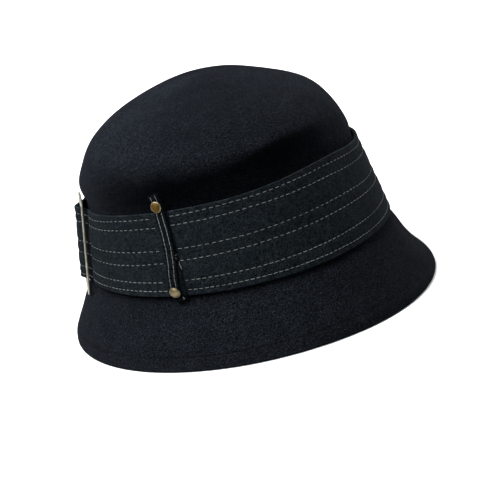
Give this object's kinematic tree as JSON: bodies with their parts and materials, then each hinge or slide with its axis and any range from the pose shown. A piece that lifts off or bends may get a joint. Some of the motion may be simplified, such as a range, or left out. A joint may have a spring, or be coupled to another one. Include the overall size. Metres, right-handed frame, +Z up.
{
  "type": "cloche hat",
  "caption": "Felt cloche hat with a rounded crown, a short down-turned brim, a broad stitched leather band, a slide buckle and a riveted keeper strap.",
  "frame": {"origin": "on the ground at the middle of the brim's oval", "axes": "-Y the hat's front, +Z up to the crown's tip, the buckle at the -X side"},
  "size_m": [0.219, 0.235, 0.1398],
  "materials": {
    "felt": "black brushed wool felt, matt",
    "band_leather": "dark green-grey suede leather, matt",
    "nickel": "worn pale nickel plate over brass",
    "brass": "dull aged brass"
  },
  "bodies": {
    "root": {"felt_body": "felt", "band": "band_leather", "keeper_strap": "band_leather", "buckle": "nickel", "stud_top": "brass", "stud_bottom": "brass"}
  },
  "joints": []
}
